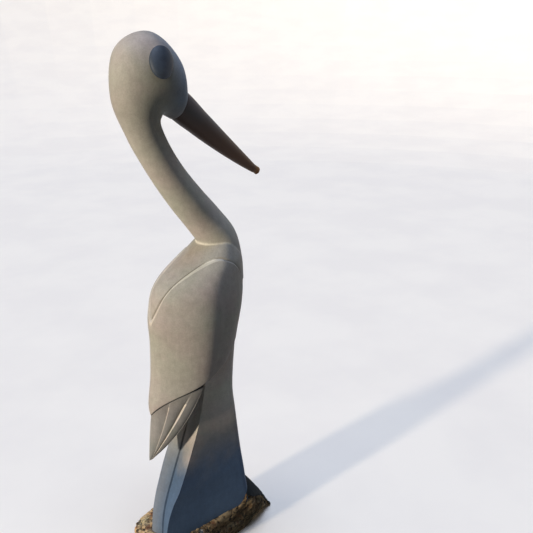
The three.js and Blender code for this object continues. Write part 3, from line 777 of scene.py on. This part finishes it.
def finishEye(material, look):
    tree, shader, place = startMaterial(material, look)
    cloud = noiseShare(tree, place, look["cloudScale"], *look["cloudBand"], detail=5)
    colour = blend(tree, cloud, tone(*look["dark"]), tone(*look["light"]))
    finishMaterial(tree, shader, look, colour, noiseShare(tree, place, look["grainScale"], detail=3))


# Rind: the block's unworked skin, tan mottled with brown, rust and grey-green, dark in its pits and cracks, and
# darkened all over on the bird's right by painted shade.
rindLook = dict(
    tan=(222, 192, 146), brown=(150, 123, 90), rust=(152, 110, 78),
    moss=(150, 144, 114), dark=(58, 50, 42), chip=(190, 186, 178),
    tanScale=22, tanBand=(0.40, 0.60), rustScale=34, rustBand=(0.58, 0.66), mossScale=15, mossBand=(0.52, 0.66),
    pitScale=75, pitBand=(0.52, 0.66), crackScale=17, crackWidth=0.05, crackShare=0.7,
    crackBendScale=40, crackBend=0.02, chipSpot=(-0.082, -0.058, 0.088), chipSize=0.011, chipCore=0.8,
    raggedScale=160, raggedHigh=120.0, paintedRightShadeFrom=-0.015, paintedRightShadeFull=-0.050, paintedRightShade=0.36,
    roughness=0.92, specular=0.15, bump=0.8, bumpDistance=0.003,
)


# Cracks are the borders of a cell pattern bent by noise; the chip is a small ball round one spot, ragged by
# noise. Painted shade on the bird's right is the lightness left there, reached between two sideways limits.
def finishRind(material, look):
    tree, shader, place = startMaterial(material, look)
    tanShare = noiseShare(tree, place, look["tanScale"], *look["tanBand"], detail=8, roughness=0.65)
    mossShare = noiseShare(tree, place, look["mossScale"], *look["mossBand"], detail=5)
    rustShare = noiseShare(tree, place, look["rustScale"], *look["rustBand"], detail=5)
    colour = blend(tree, tanShare, tone(*look["brown"]), tone(*look["tan"]))
    colour = blend(tree, mossShare, colour, tone(*look["moss"]))
    colour = blend(tree, rustShare, colour, tone(*look["rust"]))
    pit = noiseShare(tree, place, look["pitScale"], *look["pitBand"], detail=4)
    colour = blend(tree, pit, colour, tone(*look["dark"]))
    cells = addNode(tree, "ShaderNodeTexVoronoi", feature="DISTANCE_TO_EDGE")
    feed(tree, cells.inputs["Vector"], bent(tree, place, look["crackBendScale"], look["crackBend"]))
    feed(tree, cells.inputs["Scale"], look["crackScale"])
    crack = stretch(tree, cells.outputs["Distance"], look["crackWidth"], 0)
    colour = blend(tree, maths(tree, "MULTIPLY", crack, look["crackShare"]), colour, tone(*look["dark"]))
    uneven = noiseShare(tree, place, look["raggedScale"], 0.0, look["raggedHigh"])
    ragged = maths(tree, "ADD", distanceFrom(tree, place, look["chipSpot"]), uneven)
    chipped = stretch(tree, ragged, look["chipSize"], look["chipSize"] * look["chipCore"])
    colour = blend(tree, chipped, colour, tone(*look["chip"]))
    split = addNode(tree, "ShaderNodeSeparateXYZ")
    feed(tree, split.inputs["Vector"], place)
    # Painted shade: the rind on the bird's right side darkened.
    paintedRightShade = stretch(tree, split.outputs["Y"], look["paintedRightShadeFrom"], look["paintedRightShadeFull"], 1.0, look["paintedRightShade"])
    colour = shade(tree, colour, paintedRightShade)
    height = maths(tree, "SUBTRACT", tanShare, maths(tree, "ADD", pit, crack))
    finishMaterial(tree, shader, look, colour, height)


stoneLooks = (
    (stoneSlot, stoneLook), (paintedHighlightSlot, paintedHighlightLook), (paintedShadeRockSlot, paintedShadeRockLook),
    (legSlot, legLook), (tailSlot, tailLook), (neckSlot, neckLook),
)
for slot, look in stoneLooks:
    finishStone(finishes[slot], look)
finishBill(finishes[billSlot], billLook)
finishEye(finishes[eyeSlot], eyeLook)
finishRind(finishes[rindSlot], rindLook)
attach(carving, "root")
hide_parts("stork_carving")
print("materials made")

# Floor: a pale dish, flat round the bird and rising slowly far away. It takes shadows but gives no light back.
dish = dict(middle=0.01, flat=5.0, reach=26.0, steepness=0.03, rings=40, columns=96)


# Height = steepness x (radius - flat)^2 beyond the flat part.
def dishMesh(spec):
    radius = np.linspace(spec["middle"], spec["reach"], spec["rings"])[:, None]
    turn = np.linspace(0, 2 * math.pi, spec["columns"], endpoint=False)[None, :]
    height = spec["steepness"] * np.maximum(radius - spec["flat"], 0) ** 2 + 0 * turn
    grid = np.stack([radius * np.cos(turn), radius * np.sin(turn), height], axis=-1)
    i, j = np.arange(spec["rings"] - 1)[:, None] * spec["columns"], np.arange(spec["columns"])
    k = (j + 1) % spec["columns"]
    outer = i + spec["columns"]
    quads = np.stack([i + j, outer + j, outer + k, i + k], axis=-1).reshape(-1, 4)
    mesh = bpy.data.meshes.new("floor")
    mesh.from_pydata(grid.reshape(-1, 3).tolist(), [], quads.tolist() + [list(range(spec["columns"]))])
    return mesh


floorLook = dict(
    light=(246, 238, 224), dark=(242, 234, 221), cloudScale=2, cloudBand=(0.4, 0.6), grainScale=60,
    roughness=0.95, specular=0.05, bump=0.02, bumpDistance=0.001,
)


def floorMaterial(look):
    material = bpy.data.materials.new("paleFloor")
    tree, shader, place = startMaterial(material, look)
    cloud = noiseShare(tree, place, look["cloudScale"], *look["cloudBand"])
    colour = blend(tree, cloud, tone(*look["dark"]), tone(*look["light"]))
    finishMaterial(tree, shader, look, colour, noiseShare(tree, place, look["grainScale"]))
    return material


floor = bpy.data.objects.new("floor", dishMesh(dish))
bpy.context.scene.collection.objects.link(floor)
floor.data.materials.append(floorMaterial(floorLook))
floor.visible_diffuse = False
floor.visible_shadow = False

# Light: a warm low key from behind the bird, a weak wide one from behind its left, a wide cool one straight
# above and a trace from all round.
lights = dict(
    key=dict(azimuth=-89, elevation=9, width=4, strength=3.9, colour=(1.0, 0.87, 0.69)),
    soft=dict(azimuth=-116, elevation=20, width=50, strength=0.7, colour=(1.0, 0.87, 0.70)),
    above=dict(azimuth=0, elevation=90, width=40, strength=2.7, colour=(0.64, 0.75, 1.0)),
)
around = dict(colour=(0.90, 0.93, 1.0), strength=0.09)
lampAway = 3


# A distant lamp shining from (sin a cos e, -cos a cos e, sin e); width is its spread in degrees.
def addLight(name, spec):
    a, e = math.radians(spec["azimuth"]), math.radians(spec["elevation"])
    away = Vector((math.sin(a) * math.cos(e), -math.cos(a) * math.cos(e), math.sin(e)))
    data = bpy.data.lights.new(name, "SUN")
    data.angle, data.energy, data.color = math.radians(spec["width"]), spec["strength"], spec["colour"]
    lamp = bpy.data.objects.new(name, data)
    lamp.location = away * lampAway
    lamp.rotation_euler = away.to_track_quat("Z", "Y").to_euler()
    bpy.context.scene.collection.objects.link(lamp)


for name, spec in lights.items():
    addLight(name, spec)
world = bpy.data.worlds.new("studio")
world.use_nodes = True
world.node_tree.nodes["Background"].inputs["Color"].default_value = (*around["colour"], 1)
world.node_tree.nodes["Background"].inputs["Strength"].default_value = around["strength"]
bpy.context.scene.world = world
bpy.context.scene.view_settings.view_transform = "Standard"
print("floor and lights placed")

# Camera: behind the bird's right side, at the height of its crown, looking down.
view = dict(
    azimuth=-41, distance=1.5, height=1.33, pitch=20, aside=0.145,
    focalPixels=670, framePixels=533, sensorWidth=36, clipStart=0.05,
)
a = math.radians(view["azimuth"])
cameraData = bpy.data.cameras.new("camera")
cameraData.sensor_width = view["sensorWidth"]
cameraData.lens = view["sensorWidth"] * view["focalPixels"] / view["framePixels"]
cameraData.clip_start = view["clipStart"]
camera = bpy.data.objects.new("camera", cameraData)
camera.location = (
    view["distance"] * math.sin(a) + view["aside"] * math.cos(a),
    -view["distance"] * math.cos(a) + view["aside"] * math.sin(a),
    view["height"],
)
camera.rotation_euler = (math.radians(90 - view["pitch"]), 0, a)
bpy.context.scene.collection.objects.link(camera)
bpy.context.scene.camera = camera
